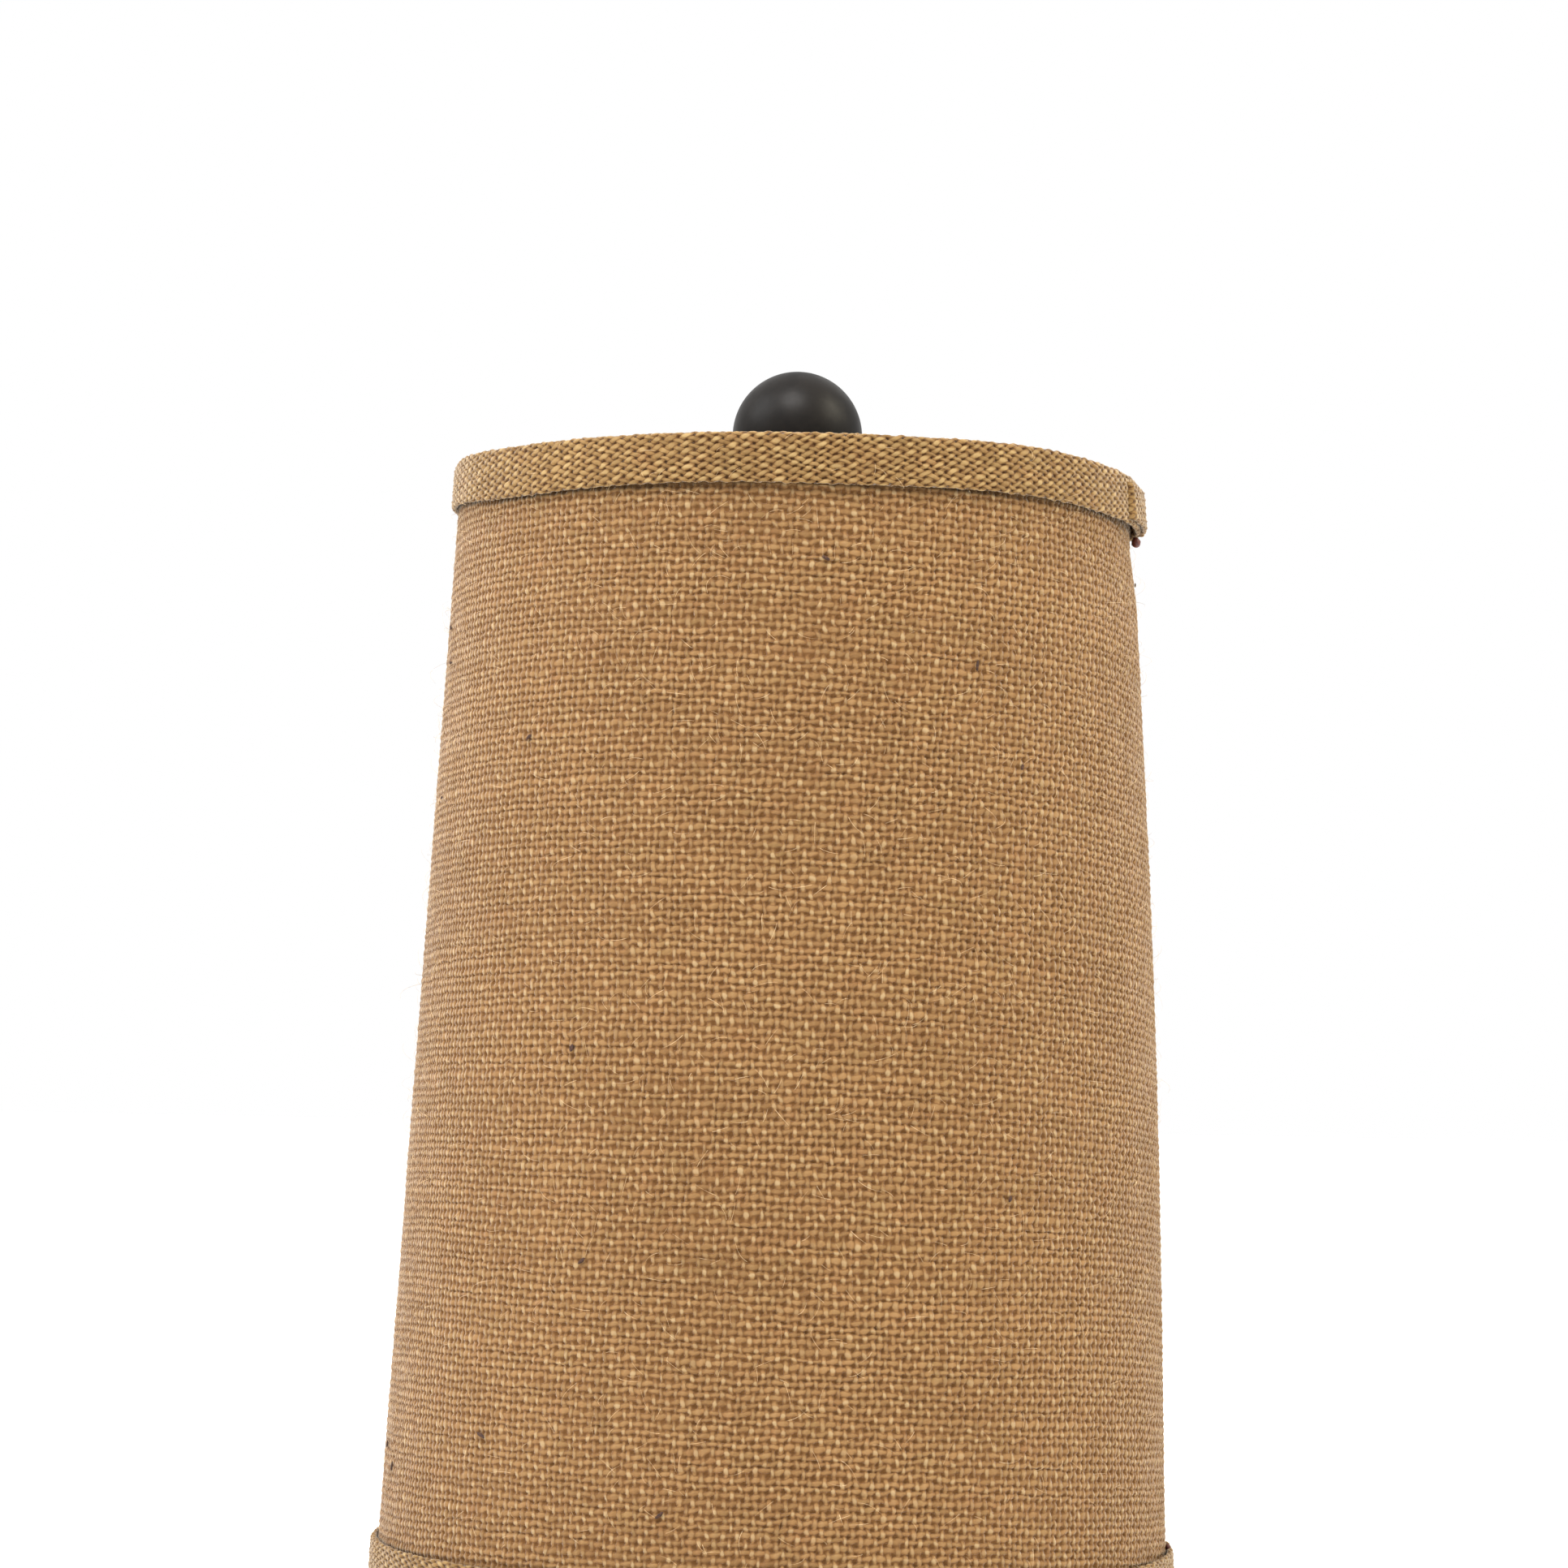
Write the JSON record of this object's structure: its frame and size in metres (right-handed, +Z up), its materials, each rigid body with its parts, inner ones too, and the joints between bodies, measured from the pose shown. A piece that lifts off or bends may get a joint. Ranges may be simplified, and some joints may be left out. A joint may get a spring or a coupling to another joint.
{
  "type": "lamp shade",
  "caption": "Tall tapered burlap lamp shade with bias-cut edge trims, a recessed three-arm washer spider and a round screw-on finial.",
  "frame": {"origin": "centre of the bottom rim, on the surface the shade stands on", "axes": "+Z up along the shade's axis, towards the finial; -Y is the side that faces the viewer; +X is the side where the trims are lapped"},
  "size_m": [0.1779, 0.1768, 0.2678],
  "materials": {
    "burlap": "open plain weave, natural jute, matte",
    "burlap_trim": "the same weave cut on the bias",
    "styrene": "off-white, satin",
    "fitter_metal": "brass-plated wire, satin",
    "fibre": "dull black fibre",
    "dark_bronze": "oil-rubbed dark bronze, satin"
  },
  "bodies": {
    "shade": {"fabric_cover": "burlap", "styrene_liner": "styrene", "top_trim": "burlap_trim", "bottom_trim": "burlap_trim", "top_ring": "fitter_metal", "bottom_ring": "fitter_metal", "spider_arm_1": "fitter_metal", "spider_arm_2": "fitter_metal", "spider_arm_3": "fitter_metal", "spider_hub": "fitter_metal"},
    "washer": {"finial_washer": "fibre"},
    "finial": {"finial_collar": "dark_bronze", "finial_ball": "dark_bronze"}
  },
  "joints": [
    {"name": "finial_turn", "type": "hinge", "parent": "shade", "child": "washer", "pos_m": [0, 0, 0.2268], "axis": [0, 0, 1], "range_deg": [0, 2520]},
    {"name": "finial_lift", "type": "slide", "parent": "washer", "child": "finial", "axis": [0, 0, 1], "range_m": [0, 0.0066]}
  ],
  "couplings": [
    {"joint": "finial_lift", "follows": "finial_turn", "m_per_rad": 0.00014972}
  ]
}
